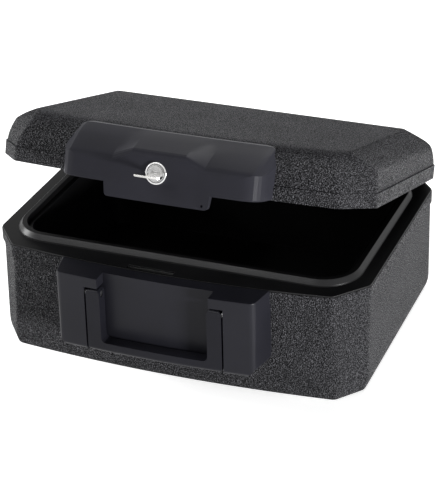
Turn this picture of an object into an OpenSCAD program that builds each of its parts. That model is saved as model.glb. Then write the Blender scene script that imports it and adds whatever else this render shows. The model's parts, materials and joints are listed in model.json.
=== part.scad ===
// Fire-resistant document chest: thick moulded base and lid, key lock in a front cover,
// carry handle in the front housing, lid standing part open on its rear hinges.

/* [Body] */
// Width of the chest
body_w = 365; // [345:1:385]
// Depth from the front corners to the rear wall
body_d = 261; // [250:1:275]
// Height of the base up to the closing face
base_h = 109.5; // [106:0.5:118]
// Height of the lid above its lower edge
lid_h = 46.1; // [44:0.1:50]
// How far the front bows out between the corners
front_bow = 11.2; // [8:0.1:13]
// Corner cut along the front
corner_x = 26; // [22:0.5:30]
// Corner cut along the side
corner_y = 31.5; // [28:0.5:35]
// Size of the rear corner cuts as a share of the front ones
rear_cut = 0.8; // [0.7:0.05:1]
// Wall thickness of the outer shells
shell_wall = 3; // [2.5:0.1:3.5]
// Height of the raised band beside the closing face
band_h = 13; // [10:0.5:16]
// How far the band stands out of the wall
band_proud = 1.5; // [1:0.1:2]
// Height of the rounded lower edge of the base
foot_round_h = 14; // [10:0.5:18]
// Inset of the rounded lower edge of the base
foot_round_in = 5; // [4:0.5:7]
// Draft of the front wall below the band
front_draft = 2; // [1:0.5:4]
// How much smaller the corner cuts are at the foot
corner_draft = 5; // [2:0.5:6]
// Gap between base and closed lid
lid_gap = 0.4; // [0.3:0.1:0.8]

/* [Lid roof] */
// How far the sides of the lid stand inside those of the base
lid_side_in = 1; // [0:0.25:1.5]
// Height of the side walls of the lid at the front
lid_side_h = 32.5; // [29:0.5:34]
// How much lower the side walls are at the rear
side_fall = 5; // [2:0.5:6]
// How far the side walls lean in at their upper edge
side_lean = 4; // [2:0.5:5]
// Inset of the sloped sides at the roof
roof_side_in = 28.5; // [26:0.5:34]
// Inset of the rounded front at the roof
roof_front_in = 27; // [22:0.5:32]
// Inset of the sloped rear at the roof
roof_rear_in = 39; // [32:0.5:44]

/* [Inside] */
// Distance from the side walls to the storage space
cavity_side = 26.5; // [24.5:0.5:32.5]
// Distance from the front corners to the storage space
cavity_front = 26; // [25:0.5:30]
// Distance from the rear wall to the storage space
cavity_rear = 31; // [30:0.5:36]
// Height of the storage floor above the table
cavity_floor = 27; // [24:0.5:32]
// Inset of the storage walls at the floor
cavity_draft = 5; // [3:0.5:7]
// Corner radius of the storage space
cavity_r = 24; // [18:1:28]
// Thickness of the liners
liner_t = 2.5; // [2:0.1:3]
// Thickness of the liner flange on the rim
flange_t = 1.6; // [1.2:0.1:2]
// Distance of the ridge outside the storage space
ridge_out = 13; // [12:0.5:14]
// Width of the ridge on the rim
ridge_w = 8; // [6:0.5:8]
// Height of the ridge on the rim
ridge_h = 5.8; // [4:0.1:6.5]
// Clearance of the ridge in the lid groove
groove_gap = 1.5; // [1.2:0.1:2]
// Extra width of the groove along the rear
groove_rear_extra = 4.5; // [4:0.5:6]
// Depth of the shallow space in the lid
lid_tray_depth = 9; // [7:0.5:12]

/* [Front housing] */
// How far housing, handle and cover stand in front of the wall
housing_out = 27.5; // [25:0.5:30]
// Half width of the housing at the wall
housing_half = 100.5; // [97:0.5:104]
// Side taper of the housing from wall to front
housing_taper = 5.2; // [3:0.1:7]
// Height of the lower edge of the housing
housing_bottom = 33.2; // [30:0.2:38]
// Radius of the lower corners of the housing
housing_r = 13; // [8:1:16]
// Depth of the recess in the housing
recess_depth = 14.1; // [13.5:0.1:15]
// Half width of the recess between the pillar heads
recess_half = 53.6; // [53:0.1:56]
// Height of the lower side of the pillar heads
recess_head_z = 99.4; // [99:0.1:100.4]
// Wall thickness of the smooth mouldings
housing_wall = 3.4; // [3:0.1:4]

/* [Handle] */
// Half width of the handle over its arms
handle_half = 65.3; // [63:0.1:67]
// Width of one handle arm
arm_w = 13.6; // [12:0.1:14]
// Height of the crossbar
crossbar_h = 10.6; // [9:0.1:13]
// Thickness of the handle
handle_t = 12; // [11:0.1:12.3]
// Gap between handle and pillars
handle_gap = 1.7; // [1.4:0.1:2.4]
// Height of the handle pivots
handle_pivot_z = 92; // [91.5:0.1:92.2]
// Radius of the handle pivot pins
handle_pin_r = 3; // [2.5:0.1:3.2]

/* [Lock cover] */
// Half width of the cover at the lid wall
cover_half = 97.5; // [94:0.5:100]
// Height of the cover front in the middle
cover_centre_h = 32.2; // [30:0.2:34]
// Height of the cover front at the shoulders
cover_shoulder_h = 24; // [22:0.2:27]
// Half width of the tall middle of the cover
cover_centre_half = 25; // [22:0.5:28]
// Half width at which the shoulders start
cover_step_half = 43.4; // [40:0.5:47]
// Half width at which the shoulders end
cover_shoulder_half = 79; // [76:0.5:80]
// Half width of the tongue below the cover
tongue_half = 50.5; // [49:0.1:51]
// How far the tongue reaches below the lid
tongue_drop = 11.8; // [9:0.1:12.5]

/* [Lock] */
// Height of the lock axis above the lid edge
lock_up = 14.9; // [14.5:0.1:15.5]
// Radius of the lock ring
lock_ring_r = 9.9; // [9.4:0.1:10.6]
// Radius of the lock plug
plug_r = 7; // [6.5:0.1:7.4]
// Radius of the lock body in the cover
lock_body_r = 8.7; // [8.5:0.1:9.1]
// Outer radius of the lock cam
cam_r = 27.3; // [26.8:0.1:28]
// Width of the key bow
key_bow_w = 25; // [20:0.5:28]
// Length of the key bow
key_bow_l = 12; // [10.5:0.5:16]
// Thickness of the key
key_t = 1.8; // [1.5:0.1:2.2]

/* [Hinges] */
// Angle at which the lid stands open
lid_open = 17.15; // [5:0.05:30]
// Distance of the hinge axis behind the rear wall
hinge_back = 4.8; // [4.6:0.1:6]
// Distance of the hinge axis below the closing face
hinge_drop = 18.1; // [16:0.1:20]
// Distance of each hinge from the middle
hinge_x = 105; // [90:1:115]
// Radius of the hinge knuckles
knuckle_r = 4.2; // [4:0.1:4.3]
// Radius of the hinge pins
hinge_pin_r = 1.7; // [1.5:0.1:2]

/* [Hidden] */

eps = 0.01;
over = 1;
fit = 0.05;
air = 0.3;
bow_steps = 24;
corner_steps = 3;
round_steps = 8;
edge_steps = 4;
corner_soft = 3;
band_step_h = 0.5;
front_y = -body_d / 2;
rear_y = body_d / 2;
bow_half = body_w / 2 - corner_x;
lid_z = base_h + lid_gap;
hinge_y = rear_y + hinge_back;
hinge_z = base_h - hinge_drop;
shell_top = base_h - flange_t;

// Distance of the bowed front wall in front of its corners.
function bow_at(x) = front_bow * (1 - pow(x / bow_half, 2));

// Front curve of everything that stands in front of the wall.
function front_at(x, out) = front_y - out - bow_at(x);

function unit2(v) = v / norm(v);

// Soft corner between two edges of an outline.
function soft_corner(before, corner, after, reach, steps = corner_steps) =
    let (
        start = corner + reach * unit2(before - corner),
        stop = corner + reach * unit2(after - corner)
    )
    [
        for (i = [0:steps])
            let (s = i / steps)
            (1 - s) * (1 - s) * start + 2 * s * (1 - s) * corner + s * s * stop
    ];

// Closed outline with every corner softened.
function soft_outline(corners, reach) =
    let (last = len(corners) - 1)
    [
        for (i = [0:last])
            let (before = corners[i == 0 ? last : i - 1], after = corners[i == last ? 0 : i + 1])
            each soft_corner(before, corners[i], after, reach)
    ];

// Plan outline of the chest, with a bowed front and cut corners.
function plan(side, front, rear, cut_x, cut_y, bow) =
    let (
        half = body_w / 2 - side,
        y_f = front_y + front,
        y_r = rear_y - rear,
        flat = half - cut_x,
        rear_flat = half - rear_cut * cut_x,
        reach = min(corner_soft, 0.45 * rear_cut * norm([cut_x, cut_y])),
        crown = [
            for (i = [1:bow_steps - 1])
                let (x = -flat + 2 * flat * i / bow_steps)
                [x, y_f - bow * (1 - pow(x / flat, 2))]
        ],
        f_l = [-flat, y_f],
        f_r = [flat, y_f],
        s_fr = [half, y_f + cut_y],
        s_rr = [half, y_r - rear_cut * cut_y],
        r_r = [rear_flat, y_r],
        r_l = [-rear_flat, y_r],
        s_rl = [-half, y_r - rear_cut * cut_y],
        s_fl = [-half, y_f + cut_y]
    )
    concat(
        soft_corner(s_fl, f_l, crown[0], reach),
        crown,
        soft_corner(crown[bow_steps - 2], f_r, s_fr, reach),
        soft_corner(f_r, s_fr, s_rr, reach),
        soft_corner(s_fr, s_rr, r_r, reach),
        soft_corner(s_rr, r_r, r_l, reach),
        soft_corner(r_r, r_l, s_rl, reach),
        soft_corner(r_l, s_rl, s_fl, reach),
        soft_corner(s_rl, s_fl, f_l, reach)
    );

// The same plan moved inwards by one wall thickness.
function inner_plan(side, front, rear, cut_x, cut_y, t, bow = front_bow) =
    let (
        slant = norm([cut_x, cut_y]),
        in_x = cut_x - t * (1 - (slant - cut_x) / cut_y),
        in_y = cut_y - t * (1 - (slant - cut_y) / cut_x)
    )
    plan(side + t, front + t, rear + t, in_x, in_y, bow);

// Rounded rectangle in plan.
function round_rect(half, y_f, y_r, r) =
    [
        for (corner = [[-1, y_f + r, 180], [1, y_f + r, 270], [1, y_r - r, 0], [-1, y_r - r, 90]])
            for (i = [0:round_steps])
                let (a = corner[2] + 90 * i / round_steps)
                [corner[0] * (half - r) + r * cos(a), corner[1] + r * sin(a)]
    ];

// Solid through a stack of outlines with equal numbers of points.
module loft(levels) {
    n = len(levels[0][1]);
    top = (len(levels) - 1) * n;
    points = [for (level = levels) for (p = level[1]) [p[0], p[1], level[0]]];
    sides = [
        for (k = [0:len(levels) - 2])
            for (i = [0:n - 1])
                let (a = k * n + i, b = k * n + (i + 1) % n, c = b + n, d = a + n)
                each [[a, d, c], [a, c, b]]
    ];
    lower = [for (i = [0:n - 1]) i];
    upper = [for (i = [0:n - 1]) top + n - 1 - i];
    polyhedron(points = points, faces = concat(sides, [lower], [upper]), convexity = 6);
}

// Loft whose outlines are front views, stacked towards the viewer.
module front_loft(levels) {
    rotate([90, 0, 0]) loft(levels);
}

// Front view outline pushed through a range of depth.
module front_slab(y_near, y_far, outline) {
    translate([0, y_far, 0])
        rotate([90, 0, 0])
            linear_extrude(y_far - y_near)
                polygon(outline);
}

// Cylinder along the depth of the chest.
module rod_y(x, y_near, y_far, z, r) {
    translate([x, y_far, z])
        rotate([90, 0, 0])
            cylinder(h = y_far - y_near, r = r, $fn = 48);
}

// Cylinder along the width of the chest.
module rod_x(x_near, x_far, y, z, r) {
    translate([x_near, y, z])
        rotate([0, 90, 0])
            cylinder(h = x_far - x_near, r = r, $fn = 48);
}

// Slab between two bowed curves in front of the wall.
module bowed_slab(out_near, out_far, half, z_low, z_high) {
    xs = [for (i = [0:bow_steps]) (2 * i / bow_steps - 1) * half];
    near = [for (x = xs) [x, front_at(x, out_near)]];
    far = [for (x = xs) [-x, front_at(x, out_far)]];
    translate([0, 0, z_low])
        linear_extrude(z_high - z_low)
            polygon(concat(near, far));
}

// Tilts the closed lid to the angle at which it stands open.
module lid_at_rest() {
    translate([0, hinge_y, hinge_z])
        rotate([-lid_open, 0, 0])
            translate([0, -hinge_y, -hinge_z])
                children();
}

// Base

// Heights and insets along a quarter round at a lower edge.
function edge_levels(z_low, h, inset) =
    [
        for (i = [0:edge_steps])
            let (a = 90 * i / edge_steps)
            [z_low + h * (1 - cos(a)), inset * (1 - sin(a))]
    ];

// Share of the height of the base from its rim down to one level.
function fall_at(z) = (shell_top - z) / shell_top;

foot_cut = 0.5;
foot_front = 0.4;
bow_draft = 2.3;

// Plan of the base wall at one height, for one inset of the rounded foot.
function wall_plan(z, inset, t) =
    let (cut = corner_draft * fall_at(z) + foot_cut * inset)
    inner_plan(
        band_proud + inset, band_proud + front_draft * fall_at(z) + foot_front * inset, inset,
        corner_x - cut, corner_y - cut, t, front_bow - bow_draft * fall_at(z)
    );

// Outer form of the base, drawn inwards by one thickness.
module base_solid(t, z_low, z_high) {
    foot = [
        for (level = edge_levels(0, foot_round_h, foot_round_in))
            [max(level[0], z_low + level[0] * eps), wall_plan(level[0], level[1], t)]
    ];
    band_low = base_h - band_h;
    upper = [
        [band_low - band_step_h, wall_plan(band_low, 0, t)],
        [band_low, inner_plan(0, 0, 0, corner_x, corner_y, t)],
        [z_high, inner_plan(0, 0, 0, corner_x, corner_y, t)]
    ];
    loft(concat(foot, upper));
}

housing_peg_x = 80;
housing_peg_z = [50, 88];
peg_r = 4;
peg_in = 9;

function peg_front(x) = front_at(x, housing_wall);
function peg_back(x) = front_at(x, -peg_in);

module housing_pegs(r) {
    for (side = [-1, 1])
        for (z = housing_peg_z)
            rod_y(side * housing_peg_x, peg_front(housing_peg_x), peg_back(housing_peg_x), z, r);
}

hinge_plate_t = 3;
hinge_half = 20;
hinge_arm_half = 10.5;
hinge_screw_x = 14;
hinge_screw_r = 1.6;
hinge_screw_l = 12;
base_screw_drop = 19;
lid_screw_up = 17;
base_screw_z = hinge_z - base_screw_drop;
lid_screw_z = lid_z + lid_screw_up;

module hinge_shanks(z, r) {
    for (side = [-1, 1])
        for (x = [-hinge_screw_x, hinge_screw_x])
            rod_y(side * hinge_x + x, rear_y - hinge_screw_l, rear_y + hinge_plate_t, z, r);
}

module base_shell() {
    color("dimgray")
        difference() {
            base_solid(0, 0, shell_top);
            base_solid(shell_wall, shell_wall, shell_top + over);
            housing_pegs(peg_r + fit);
            hinge_shanks(base_screw_z, hinge_screw_r + fit);
        }
}

cavity_half = body_w / 2 - cavity_side;
cavity_y_f = front_y + cavity_front;
cavity_y_r = rear_y - cavity_rear;

// Storage space of the base, drawn outwards by one thickness.
module cavity(t, z_low, z_high) {
    loft([[z_low, around_space(t - cavity_draft, 0)], [z_high, around_space(t, 0)]]);
}

module base_fill() {
    color("lightgray")
        difference() {
            base_solid(shell_wall + air, shell_wall, base_h - flange_t);
            cavity(liner_t + air, cavity_floor - liner_t, base_h + over);
            housing_pegs(peg_r + air);
            hinge_shanks(base_screw_z, hinge_screw_r + air);
            strike_space();
        }
}

// Outline round the storage space at one distance from it.
function around_space(out, rear_extra) =
    round_rect(cavity_half + out, cavity_y_f - out, cavity_y_r + out + rear_extra, cavity_r + out);

ridge_foot = 1.2;
ridge_slope = 2.6;
ridge_soft = 0.9;

// Ridge on the rim, with a sloped outer side.
module ridge() {
    top = base_h + ridge_h;
    difference() {
        loft([
            [shell_top, around_space(ridge_out, 0)],
            [base_h + ridge_foot, around_space(ridge_out, 0)],
            [top - ridge_soft, around_space(ridge_out - ridge_slope, 0)],
            [top, around_space(ridge_out - ridge_slope - ridge_soft, 0)]
        ]);
        translate([0, 0, shell_top - over])
            linear_extrude(ridge_h + flange_t + 2 * over)
                polygon(around_space(ridge_out - ridge_w, 0));
    }
}

// Ring in the lid that the ridge closes into.
module groove() {
    translate([0, 0, lid_z - over])
        linear_extrude(groove_h + over)
            difference() {
                polygon(around_space(ridge_out + groove_gap, 0));
                polygon(around_space(ridge_out - ridge_w - groove_gap, -groove_rear_extra));
            }
}

flange_in = 0.6;

module base_liner() {
    color("black")
        difference() {
            union() {
                translate([0, 0, shell_top])
                    linear_extrude(flange_t)
                        polygon(inner_plan(0, 0, 0, corner_x, corner_y, flange_in));
                cavity(liner_t, cavity_floor - liner_t, shell_top + eps);
                ridge();
            }
            cavity(0, cavity_floor, base_h + over);
            strike_slot(shell_top - over, base_h + over);
        }
}

// Front housing

housing_top_gap = 0.2;
housing_top = base_h - housing_top_gap;
block_back = 12;
block_soft = 5;
edge_r = 5;
top_soft = 1.2;
loft_margin = 0.4;

// Plan of a block in front of the wall, with tapering sides and soft front corners.
function block_outline(half, t, soft, taper) =
    let (
        side = half - t,
        tip = side - taper,
        reach = max(soft - t, over),
        steps = soft > block_soft ? round_steps : corner_steps,
        wall_y = front_at(half, 0),
        back_y = front_y + block_back - t,
        crown = [
            for (i = [1:bow_steps - 1])
                let (x = (2 * i / bow_steps - 1) * (tip - reach))
                [x, front_at(x, housing_out) + t]
        ],
        f_l = [-tip, front_at(tip, housing_out) + t],
        f_r = [tip, front_at(tip, housing_out) + t]
    )
    concat(
        [[-side, wall_y]],
        soft_corner([-side, wall_y], f_l, crown[0], reach, steps),
        crown,
        soft_corner(crown[bow_steps - 2], f_r, [side, wall_y], reach, steps),
        [[side, wall_y], [side, back_y], [-side, back_y]]
    );

// Block in front of the wall, built from heights and insets.
module front_stack(half, t, soft, levels, taper = housing_taper) {
    loft([for (level = levels) [level[0], block_outline(half, t + level[1], soft, taper)]]);
}

function housing_outline(half, z_low, z_high, r) =
    concat(
        [[half, z_high], [-half, z_high]],
        [
            for (i = [0:round_steps])
                let (a = 180 + 90 * i / round_steps)
                [-half + r + r * cos(a), z_low + r + r * sin(a)]
        ],
        [
            for (i = [0:round_steps])
                let (a = 270 + 90 * i / round_steps)
                [half - r + r * cos(a), z_low + r + r * sin(a)]
        ]
    );

// Half width of the housing at one depth.
function housing_half_at(y) =
    housing_half + (y - front_at(housing_half, 0)) * housing_taper / housing_out;

module housing_block(t) {
    top = housing_top - t;
    r = edge_r - min(t, edge_r - over);
    intersection() {
        front_loft([
            for (y = [front_y + block_back, front_at(0, housing_out) - block_soft])
                let (half = housing_half_at(y) - t + loft_margin)
                [-y, housing_outline(half, housing_bottom + t - eps, top + over, housing_r - t)]
        ]);
        front_stack(
            housing_half, t, block_soft,
            concat(
                edge_levels(housing_bottom + t, r, r),
                [[top - top_soft, 0], [top - top_soft / 4, top_soft / 3], [top, top_soft]]
            )
        );
    }
}

recess_over = 20;
recess_low = housing_bottom - recess_over;

// Space for the handle and the tongue, cut from the front.
module recess(t) {
    lower_half = handle_half + handle_gap + t;
    upper_half = recess_half + t;
    head_z = recess_head_z + t;
    top = base_h + over;
    outline = [
        [-lower_half, recess_low], [lower_half, recess_low], [lower_half, head_z], [upper_half, head_z],
        [upper_half, top], [-upper_half, top], [-upper_half, head_z], [-lower_half, head_z]
    ];
    intersection() {
        front_slab(lock_y - block_soft, front_y, outline);
        bowed_slab(housing_out + over, housing_out - recess_depth - t, housing_half, recess_low, top);
    }
}

arm_x = handle_half - arm_w / 2;
handle_y = front_at(arm_x, housing_out - handle_t / 2);
pin_seat = 8;
pin_seat_x = handle_half + handle_gap + pin_seat / 2;
boss_wall = 2;
peg_near = front_at(housing_peg_x, housing_out - housing_wall / 2);
peg_far = front_at(housing_peg_x, 0);

// Rod in the seat of one handle pin.
module pin_seat_rod(side, l, r) {
    x = side * pin_seat_x;
    rod_x(x - l / 2, x + l / 2, handle_y, handle_pivot_z, r);
}

module front_housing() {
    color("darkslategray")
        difference() {
            union() {
                difference() {
                    union() {
                        difference() {
                            housing_block(0);
                            recess(0);
                            difference() {
                                housing_block(housing_wall);
                                recess(housing_wall);
                            }
                        }
                        for (side = [-1, 1]) {
                            for (z = housing_peg_z)
                                rod_y(side * housing_peg_x, peg_near, peg_far, z, peg_r + boss_wall);
                            pin_seat_rod(side, pin_seat, handle_pin_r + boss_wall);
                        }
                    }
                    base_solid(-air, 0, base_h + over);
                }
                housing_pegs(peg_r);
            }
            for (side = [-1, 1])
                pin_seat_rod(side, pin_seat + 2 * over, handle_pin_r + fit);
        }
}

// Strike under the rim flange, caught by the lock cam, and the box that the cam turns in

pocket_near_x = -33;
pocket_far_x = 17;
slot_near_x = -37;
slot_far_x = 8;
slot_w = 6;
cam_wall_gap = 0.7;
cam_slot_gap = 0.5;
cam_y = front_at(0, -shell_wall) + cam_wall_gap;
slot_y = cam_y - cam_slot_gap;
strike_t = 2;
strike_near_end = 4;
strike_far_end = 16;
strike_near_x = slot_near_x - strike_near_end;
strike_far_x = slot_far_x + strike_far_end;
strike_y_f = front_at(strike_near_x, -shell_wall) + air;
strike_l = 14.6;
strike_screw_x = [-25, 16];
strike_screw_in = 10;
strike_screw_y = strike_y_f + strike_screw_in;
strike_screw_r = 1.6;
strike_head_r = 3;
strike_head_h = 1.4;
strike_screw_l = 10;
cam_box_t = 1;
cam_box_near_x = slot_near_x - cam_box_t;
cam_box_far_x = pocket_far_x;

// Slot in the rim through which the cam hooks in.
module strike_slot(z_low, z_high) {
    translate([slot_near_x, slot_y, z_low])
        cube([slot_far_x - slot_near_x, slot_w, z_high - z_low]);
}

// Upright screws of the strike, with sunk heads.
module strike_screw_bodies(r, r_head) {
    for (x = strike_screw_x)
        translate([x, strike_screw_y, shell_top - strike_screw_l]) {
            cylinder(h = strike_screw_l - fit, r = r, $fn = 48);
            translate([0, 0, strike_screw_l - strike_head_h])
                cylinder(h = strike_head_h, r1 = r, r2 = r_head, $fn = 48);
        }
}

// Room in the filling for the strike, its screws and the box of the cam.
module strike_space() {
    translate([strike_near_x - air, strike_y_f - block_soft, shell_top - strike_t])
        cube([strike_far_x - strike_near_x + 2 * air, strike_l + block_soft + air, strike_t + over]);
    cam_room(cam_box_t + air);
    strike_screw_bodies(strike_screw_r + air, strike_screw_r + air);
}

// Room in which the foot of the cam turns, grown by a wall on all sides but the front.
module cam_room(t) {
    turn_low = lid_z + lock_up - cam_r - over;
    translate([cam_box_near_x - t, strike_y_f - block_soft, turn_low - t])
        cube([
            cam_box_far_x - cam_box_near_x + 2 * t, block_soft + slot_w + t,
            shell_top - strike_t - turn_low + t
        ]);
}

// Box under the strike that keeps the filling away from the cam.
module cam_box() {
    color("black")
        intersection() {
            difference() {
                cam_room(cam_box_t);
                translate([0, 0, eps])
                    cam_room(0);
            }
            base_solid(shell_wall + air, shell_wall, shell_top);
        }
}

module strike_plate() {
    color("silver")
        difference() {
            translate([strike_near_x, strike_y_f, shell_top - strike_t])
                cube([strike_far_x - strike_near_x, strike_l, strike_t]);
            strike_slot(shell_top - strike_t - over, shell_top + over);
            strike_screw_bodies(strike_screw_r + fit, strike_head_r + fit);
        }
}

module strike_screws() {
    color("gainsboro")
        difference() {
            strike_screw_bodies(strike_screw_r, strike_head_r);
            for (x = strike_screw_x)
                translate([x - cross_l / 2, strike_screw_y - cross_w / 2, shell_top - cross_w])
                    cube([cross_l, cross_w, over]);
        }
}

// Handle

handle_low_in = 0.4;
handle_end_gap = 1.8;
handle_bottom = housing_bottom + handle_low_in;
handle_top = recess_head_z - handle_end_gap;
handle_soft = 5;
arm_front_r = 3.5;
arm_rear_r = 5;

module handle() {
    inner = handle_half - arm_w;
    bar_z = handle_bottom + crossbar_h;
    outline = soft_outline([
        [-handle_half, handle_top], [-handle_half, handle_bottom],
        [handle_half, handle_bottom], [handle_half, handle_top],
        [inner, handle_top], [inner, bar_z], [-inner, bar_z], [-inner, handle_top]
    ], handle_soft);
    color("dimgray")
        difference() {
            intersection() {
                front_slab(lock_y - over, front_y, outline);
                bowed_slab(housing_out + over, housing_out - handle_t, handle_half + over, 0, base_h);
                front_stack(
                    housing_half, 0, block_soft,
                    concat(edge_levels(handle_bottom, edge_r, edge_r), [[base_h, 0]])
                );
            }
            arm_end_cutter(front_at(inner, housing_out), arm_front_r, -1);
            arm_end_cutter(front_at(handle_half, housing_out - handle_t), arm_rear_r, 1);
            for (side = [-1, 1])
                translate([side * arm_x, 0, 0])
                    rod_x(-arm_w, arm_w, handle_y, handle_pivot_z, handle_pin_r + fit);
        }
}

// Rounds the upper end of the arms on one face.
module arm_end_cutter(face_y, r, way) {
    centre_y = face_y - way * r;
    centre_z = handle_top - r;
    reach = 3 * r;
    difference() {
        translate([-handle_half - over, way > 0 ? centre_y : centre_y - reach, centre_z])
            cube([2 * handle_half + 2 * over, reach, reach]);
        rod_x(-handle_half - 2 * over, handle_half + 2 * over, centre_y, centre_z, r);
    }
}

module handle_pin(side) {
    inner = handle_half - arm_w + over;
    outer = handle_half + handle_gap + pin_seat - over;
    near = side > 0 ? inner : -outer;
    color("silver")
        rod_x(near, near + outer - inner, handle_y, handle_pivot_z, handle_pin_r);
}

module handle_pin_left() handle_pin(-1);
module handle_pin_right() handle_pin(1);

// Hinges

hinge_plate_h = 20;
hinge_plate_drop = 9;
hinge_plate_high = hinge_z - hinge_plate_drop;
hinge_head_r = 3.2;
hinge_head_h = 1.8;
hinge_side_gap = 0.5;
ear_w = hinge_half - hinge_arm_half - hinge_side_gap;
arm_plate_half = 19;
arm_plate_low = lid_z + 1;
arm_plate_h = 24;
arm_thick_h = 9;
cross_l = 4.6;
cross_w = 0.8;

// Screw holes of one hinge plate.
module plate_holes(z) {
    for (x = [-hinge_screw_x, hinge_screw_x])
        rod_y(x, rear_y - over, rear_y + hinge_plate_t + over, z, hinge_screw_r + fit);
}

module hinge_base(side) {
    color("dimgray")
        translate([side * hinge_x, 0, 0])
            difference() {
                union() {
                    translate([-hinge_half, rear_y, hinge_plate_high - hinge_plate_h])
                        cube([2 * hinge_half, hinge_plate_t, hinge_plate_h]);
                    for (x = [-hinge_half, hinge_half - ear_w]) {
                        translate([x, rear_y, hinge_plate_high - eps])
                            cube([ear_w, hinge_back, hinge_z - hinge_plate_high]);
                        rod_x(x, x + ear_w, hinge_y, hinge_z, knuckle_r);
                    }
                }
                rod_x(-hinge_half - over, hinge_half + over, hinge_y, hinge_z, hinge_pin_r + fit);
                plate_holes(base_screw_z);
            }
}

module hinge_base_left() hinge_base(-1);
module hinge_base_right() hinge_base(1);

// Screws through both hinges at one height.
module hinge_screws(z) {
    face = rear_y + hinge_plate_t;
    for (side = [-1, 1])
        for (dx = [-hinge_screw_x, hinge_screw_x])
            let (x = side * hinge_x + dx)
            difference() {
                union() {
                    rod_y(x, rear_y - hinge_screw_l + over, face, z, hinge_screw_r);
                    rod_y(x, face, face + hinge_head_h, z, hinge_head_r);
                }
                translate([x - cross_l / 2, face + hinge_head_h - cross_w, z - cross_w / 2])
                    cube([cross_l, cross_w + over, cross_w]);
            }
}

module hinge_base_screws() color("gainsboro") hinge_screws(base_screw_z);

module hinge_pin(side) {
    color("silver")
        translate([side * hinge_x, 0, 0])
            rod_x(-hinge_half, hinge_half, hinge_y, hinge_z, hinge_pin_r);
}

module hinge_pin_left() hinge_pin(-1);
module hinge_pin_right() hinge_pin(1);

module hinge_lid(side) {
    color("dimgray")
        lid_at_rest()
            translate([side * hinge_x, 0, 0])
                difference() {
                    union() {
                        translate([-arm_plate_half, rear_y, arm_plate_low])
                            cube([2 * arm_plate_half, hinge_plate_t, arm_plate_h]);
                        translate([-hinge_arm_half, hinge_y - knuckle_r, hinge_z])
                            cube([2 * hinge_arm_half, knuckle_r, arm_plate_low + over - hinge_z]);
                        translate([-hinge_arm_half, rear_y, arm_plate_low])
                            cube([2 * hinge_arm_half, hinge_back, arm_thick_h]);
                        rod_x(-hinge_arm_half, hinge_arm_half, hinge_y, hinge_z, knuckle_r);
                    }
                    rod_x(-hinge_half, hinge_half, hinge_y, hinge_z, hinge_pin_r + fit);
                    plate_holes(lid_screw_z);
                }
}

module hinge_lid_left() hinge_lid(-1);
module hinge_lid_right() hinge_lid(1);
module hinge_lid_screws() color("gainsboro") lid_at_rest() hinge_screws(lid_screw_z);

// Lid, drawn closed and then tilted open

round_low = 20;
front_power = 3;
corner_power = 1.4;
lean_power = 2;
slope_power = 1.25;
slope_thin = 0.4;
slope_steps = 6;
slope_stations = 4;
slope_out = 8;

// Share of the height between one level and the roof.
function share_from(low, z) = min(1, max(0, (z - low) / (lid_h - low)));

// Insets of front, corners, sides and rear at one height above the lid edge.
function round_in(share, power) = roof_front_in * (1 - sqrt(1 - pow(share, power)));
function front_in(z) = round_in(share_from(round_low, z), front_power);
function corner_in(z) = round_in(share_from(band_h, z), corner_power);
function lean_in(z) = side_lean * pow(min(1, max(0, (z - band_h) / (lid_side_h - band_h))), lean_power);
function rear_in(z) = roof_rear_in * pow(share_from(lid_side_h, z), slope_power);

// Plan of the lid at one height, without its sloped sides.
function lid_plan(z, t) =
    let (
        proud = z > band_h ? band_proud : 0,
        slant = norm([corner_x, corner_y]),
        cut = corner_x - proud - lean_in(z) + (corner_in(z) * slant - front_in(z) * corner_x) / corner_y,
        move = t * (1 - slope_thin * share_from(round_low, z))
    )
    inner_plan(
        lid_side_in + proud + lean_in(z), proud + front_in(z), rear_in(z),
        cut, cut * corner_y / corner_x, move
    );

lid_levels = [4, 7, 10, 13, 16, 19, 22, 24.5, 26.5, 28, 29.2, 30.2, 31, 31.7, 32.3, 32.8, 33.1];

// Upright part of the closed lid with its rounded front, drawn inwards by one thickness.
module lid_body(t) {
    drop = t > 0 ? shell_wall : t;
    low = t > 0 ? -over : t;
    band_top = band_h + band_step_h;
    heights = [for (h = lid_levels) band_top + h * (lid_h - band_top) / lid_levels[len(lid_levels) - 1]];
    loft(concat(
        [[low, lid_plan(0, t)], [band_h, lid_plan(band_h, t)], [band_top, lid_plan(band_top, t)]],
        [for (z = heights) [z - drop * share_from(round_low, z), lid_plan(z, t)]]
    ));
}

// Outline under the sloped sides at one depth.
function slope_outline(y, t) =
    let (
        edge_z = lid_side_h - side_fall * (y - front_y) / body_d,
        wall_x = body_w / 2 - lid_side_in - band_proud,
        edge_x = wall_x - lean_in(edge_z),
        roof_x = wall_x - roof_side_in,
        side = concat(
            [[edge_x + slope_out, -2 * over], [edge_x + slope_out, edge_z - t - slope_out]],
            [
                for (i = [0:slope_steps])
                    let (share = i / slope_steps)
                    [
                        edge_x - (edge_x - roof_x) * pow(share, slope_power),
                        edge_z + (lid_h - edge_z) * share - t
                    ]
            ],
            [[roof_x, lid_h + over]]
        ),
        last = len(side) - 1
    )
    concat(side, [for (i = [last:-1:0]) [-side[i][0], side[i][1]]]);

// Space under the sloped sides of the roof.
module lid_slopes(t) {
    length = body_d + 2 * block_back;
    front_loft([
        for (i = [0:slope_stations])
            let (y = length / 2 - length * i / slope_stations)
            [-y, slope_outline(y, t)]
    ]);
}

// Outer form of the closed lid, drawn inwards by one thickness.
module lid_solid(t) {
    translate([0, 0, lid_z])
        intersection() {
            lid_body(t);
            lid_slopes(t);
        }
}

cover_peg_x = 72;
cover_peg_z = lid_z + 14;

module cover_pegs(r) {
    for (side = [-1, 1])
        rod_y(side * cover_peg_x, peg_front(cover_peg_x), peg_back(cover_peg_x), cover_peg_z, r);
}

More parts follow.
